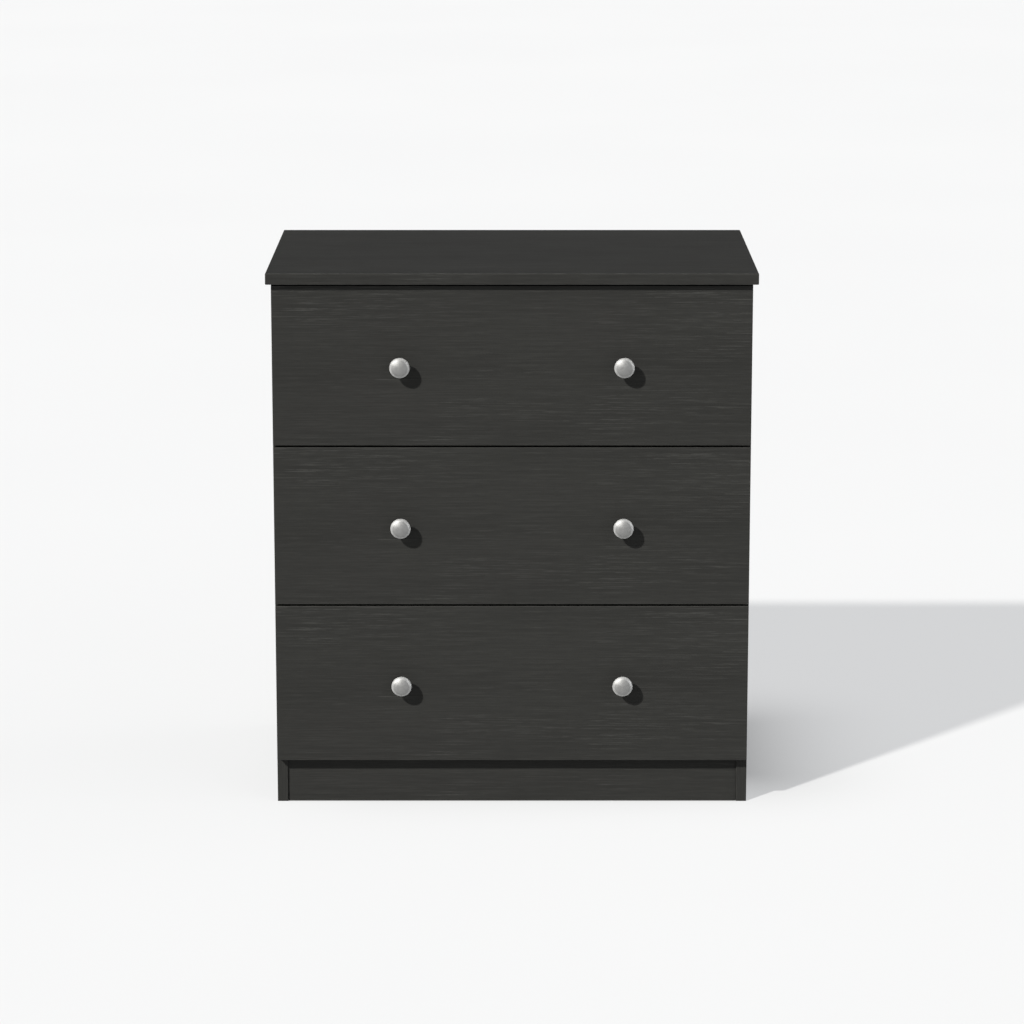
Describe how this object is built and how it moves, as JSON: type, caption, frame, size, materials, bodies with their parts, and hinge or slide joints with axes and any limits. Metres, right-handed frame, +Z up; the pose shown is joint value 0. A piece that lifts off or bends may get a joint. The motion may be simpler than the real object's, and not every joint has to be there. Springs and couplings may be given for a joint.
{
  "type": "nightstand with drawers",
  "caption": "Charcoal wood-grain bedside chest with overlay drawers on roller runners, round metal knobs and a recessed plinth.",
  "frame": {"origin": "on the floor, at the middle of the width and of the depth over the knobs (bounding box bottom centre)", "axes": "+Z up, -Y out of the front (the drawers open towards -Y), +X to the right seen from the front"},
  "size_m": [0.7, 0.465, 0.785],
  "materials": {
    "charcoal_woodgrain_board": "matte",
    "drawer_box_board": "matte",
    "painted_hardboard": "matte",
    "hardboard_back": "matte",
    "satin_nickel_knob": "satin",
    "zinc_plated_screw": "satin",
    "coated_steel_runner": "satin",
    "nylon_roller": "satin"
  },
  "bodies": {
    "cabinet": {"top_panel": "charcoal_woodgrain_board", "side_panel_left": "charcoal_woodgrain_board", "side_panel_right": "charcoal_woodgrain_board", "plinth_front": "charcoal_woodgrain_board", "plinth_rear": "charcoal_woodgrain_board", "top_rail_front": "charcoal_woodgrain_board", "top_rail_rear": "charcoal_woodgrain_board", "back_panel": "hardboard_back", "cabinet_runner_bottom_left": "coated_steel_runner", "cabinet_runner_bottom_right": "coated_steel_runner", "cabinet_runner_middle_left": "coated_steel_runner", "cabinet_runner_middle_right": "coated_steel_runner", "cabinet_runner_top_left": "coated_steel_runner", "cabinet_runner_top_right": "coated_steel_runner"},
    "bottom_drawer": {"bottom_drawer_front": "charcoal_woodgrain_board", "bottom_drawer_side_left": "drawer_box_board", "bottom_drawer_side_right": "drawer_box_board", "bottom_drawer_runner_left": "coated_steel_runner", "bottom_drawer_runner_right": "coated_steel_runner", "bottom_knob_left": "satin_nickel_knob", "bottom_knob_right": "satin_nickel_knob", "bottom_knob_screw_left": "zinc_plated_screw", "bottom_knob_screw_right": "zinc_plated_screw", "bottom_drawer_back": "drawer_box_board", "bottom_drawer_bottom": "painted_hardboard"},
    "middle_drawer": {"middle_drawer_front": "charcoal_woodgrain_board", "middle_drawer_side_left": "drawer_box_board", "middle_drawer_side_right": "drawer_box_board", "middle_drawer_runner_left": "coated_steel_runner", "middle_drawer_runner_right": "coated_steel_runner", "middle_knob_left": "satin_nickel_knob", "middle_knob_right": "satin_nickel_knob", "middle_knob_screw_left": "zinc_plated_screw", "middle_knob_screw_right": "zinc_plated_screw", "middle_drawer_back": "drawer_box_board", "middle_drawer_bottom": "painted_hardboard"},
    "top_drawer": {"top_drawer_front": "charcoal_woodgrain_board", "top_drawer_side_left": "drawer_box_board", "top_drawer_side_right": "drawer_box_board", "top_drawer_runner_left": "coated_steel_runner", "top_drawer_runner_right": "coated_steel_runner", "top_knob_left": "satin_nickel_knob", "top_knob_right": "satin_nickel_knob", "top_knob_screw_left": "zinc_plated_screw", "top_knob_screw_right": "zinc_plated_screw", "top_drawer_back": "drawer_box_board", "top_drawer_bottom": "painted_hardboard"},
    "cabinet_roller_bottom_left": {"cabinet_roller_bottom_left": "nylon_roller"},
    "bottom_drawer_roller_left": {"bottom_drawer_roller_left": "nylon_roller"},
    "cabinet_roller_bottom_right": {"cabinet_roller_bottom_right": "nylon_roller"},
    "bottom_drawer_roller_right": {"bottom_drawer_roller_right": "nylon_roller"},
    "cabinet_roller_middle_left": {"cabinet_roller_middle_left": "nylon_roller"},
    "middle_drawer_roller_left": {"middle_drawer_roller_left": "nylon_roller"},
    "cabinet_roller_middle_right": {"cabinet_roller_middle_right": "nylon_roller"},
    "middle_drawer_roller_right": {"middle_drawer_roller_right": "nylon_roller"},
    "cabinet_roller_top_left": {"cabinet_roller_top_left": "nylon_roller"},
    "top_drawer_roller_left": {"top_drawer_roller_left": "nylon_roller"},
    "cabinet_roller_top_right": {"cabinet_roller_top_right": "nylon_roller"},
    "top_drawer_roller_right": {"top_drawer_roller_right": "nylon_roller"}
  },
  "joints": [
    {"name": "bottom_drawer_slide", "type": "slide", "parent": "cabinet", "child": "bottom_drawer", "axis": [0, -1, 0], "range_m": [0, 0.3]},
    {"name": "middle_drawer_slide", "type": "slide", "parent": "cabinet", "child": "middle_drawer", "axis": [0, -1, 0], "range_m": [0, 0.3]},
    {"name": "top_drawer_slide", "type": "slide", "parent": "cabinet", "child": "top_drawer", "axis": [0, -1, 0], "range_m": [0, 0.3]},
    {"name": "cabinet_roller_bottom_left_spin", "type": "hinge", "parent": "cabinet", "child": "cabinet_roller_bottom_left", "pos_m": [-0.32275, -0.175, 0.0927], "axis": [1, 0, 0], "continuous": true},
    {"name": "bottom_drawer_roller_left_spin", "type": "hinge", "parent": "bottom_drawer", "child": "bottom_drawer_roller_left", "pos_m": [-0.32275, 0.1938, 0.0925], "axis": [1, 0, 0], "continuous": true},
    {"name": "cabinet_roller_bottom_right_spin", "type": "hinge", "parent": "cabinet", "child": "cabinet_roller_bottom_right", "pos_m": [0.32275, -0.175, 0.0927], "axis": [1, 0, 0], "continuous": true},
    {"name": "bottom_drawer_roller_right_spin", "type": "hinge", "parent": "bottom_drawer", "child": "bottom_drawer_roller_right", "pos_m": [0.32275, 0.1938, 0.0925], "axis": [1, 0, 0], "continuous": true},
    {"name": "cabinet_roller_middle_left_spin", "type": "hinge", "parent": "cabinet", "child": "cabinet_roller_middle_left", "pos_m": [-0.32275, -0.175, 0.3267], "axis": [1, 0, 0], "continuous": true},
    {"name": "middle_drawer_roller_left_spin", "type": "hinge", "parent": "middle_drawer", "child": "middle_drawer_roller_left", "pos_m": [-0.32275, 0.1938, 0.3265], "axis": [1, 0, 0], "continuous": true},
    {"name": "cabinet_roller_middle_right_spin", "type": "hinge", "parent": "cabinet", "child": "cabinet_roller_middle_right", "pos_m": [0.32275, -0.175, 0.3267], "axis": [1, 0, 0], "continuous": true},
    {"name": "middle_drawer_roller_right_spin", "type": "hinge", "parent": "middle_drawer", "child": "middle_drawer_roller_right", "pos_m": [0.32275, 0.1938, 0.3265], "axis": [1, 0, 0], "continuous": true},
    {"name": "cabinet_roller_top_left_spin", "type": "hinge", "parent": "cabinet", "child": "cabinet_roller_top_left", "pos_m": [-0.32275, -0.175, 0.5607], "axis": [1, 0, 0], "continuous": true},
    {"name": "top_drawer_roller_left_spin", "type": "hinge", "parent": "top_drawer", "child": "top_drawer_roller_left", "pos_m": [-0.32275, 0.1938, 0.5605], "axis": [1, 0, 0], "continuous": true},
    {"name": "cabinet_roller_top_right_spin", "type": "hinge", "parent": "cabinet", "child": "cabinet_roller_top_right", "pos_m": [0.32275, -0.175, 0.5607], "axis": [1, 0, 0], "continuous": true},
    {"name": "top_drawer_roller_right_spin", "type": "hinge", "parent": "top_drawer", "child": "top_drawer_roller_right", "pos_m": [0.32275, 0.1938, 0.5605], "axis": [1, 0, 0], "continuous": true}
  ],
  "couplings": [
    {"joint": "cabinet_roller_bottom_left_spin", "follows": "bottom_drawer_slide", "rad_per_m": 100},
    {"joint": "bottom_drawer_roller_left_spin", "follows": "bottom_drawer_slide", "rad_per_m": 100},
    {"joint": "cabinet_roller_bottom_right_spin", "follows": "bottom_drawer_slide", "rad_per_m": 100},
    {"joint": "bottom_drawer_roller_right_spin", "follows": "bottom_drawer_slide", "rad_per_m": 100},
    {"joint": "cabinet_roller_middle_left_spin", "follows": "middle_drawer_slide", "rad_per_m": 100},
    {"joint": "middle_drawer_roller_left_spin", "follows": "middle_drawer_slide", "rad_per_m": 100},
    {"joint": "cabinet_roller_middle_right_spin", "follows": "middle_drawer_slide", "rad_per_m": 100},
    {"joint": "middle_drawer_roller_right_spin", "follows": "middle_drawer_slide", "rad_per_m": 100},
    {"joint": "cabinet_roller_top_left_spin", "follows": "top_drawer_slide", "rad_per_m": 100},
    {"joint": "top_drawer_roller_left_spin", "follows": "top_drawer_slide", "rad_per_m": 100},
    {"joint": "cabinet_roller_top_right_spin", "follows": "top_drawer_slide", "rad_per_m": 100},
    {"joint": "top_drawer_roller_right_spin", "follows": "top_drawer_slide", "rad_per_m": 100}
  ]
}
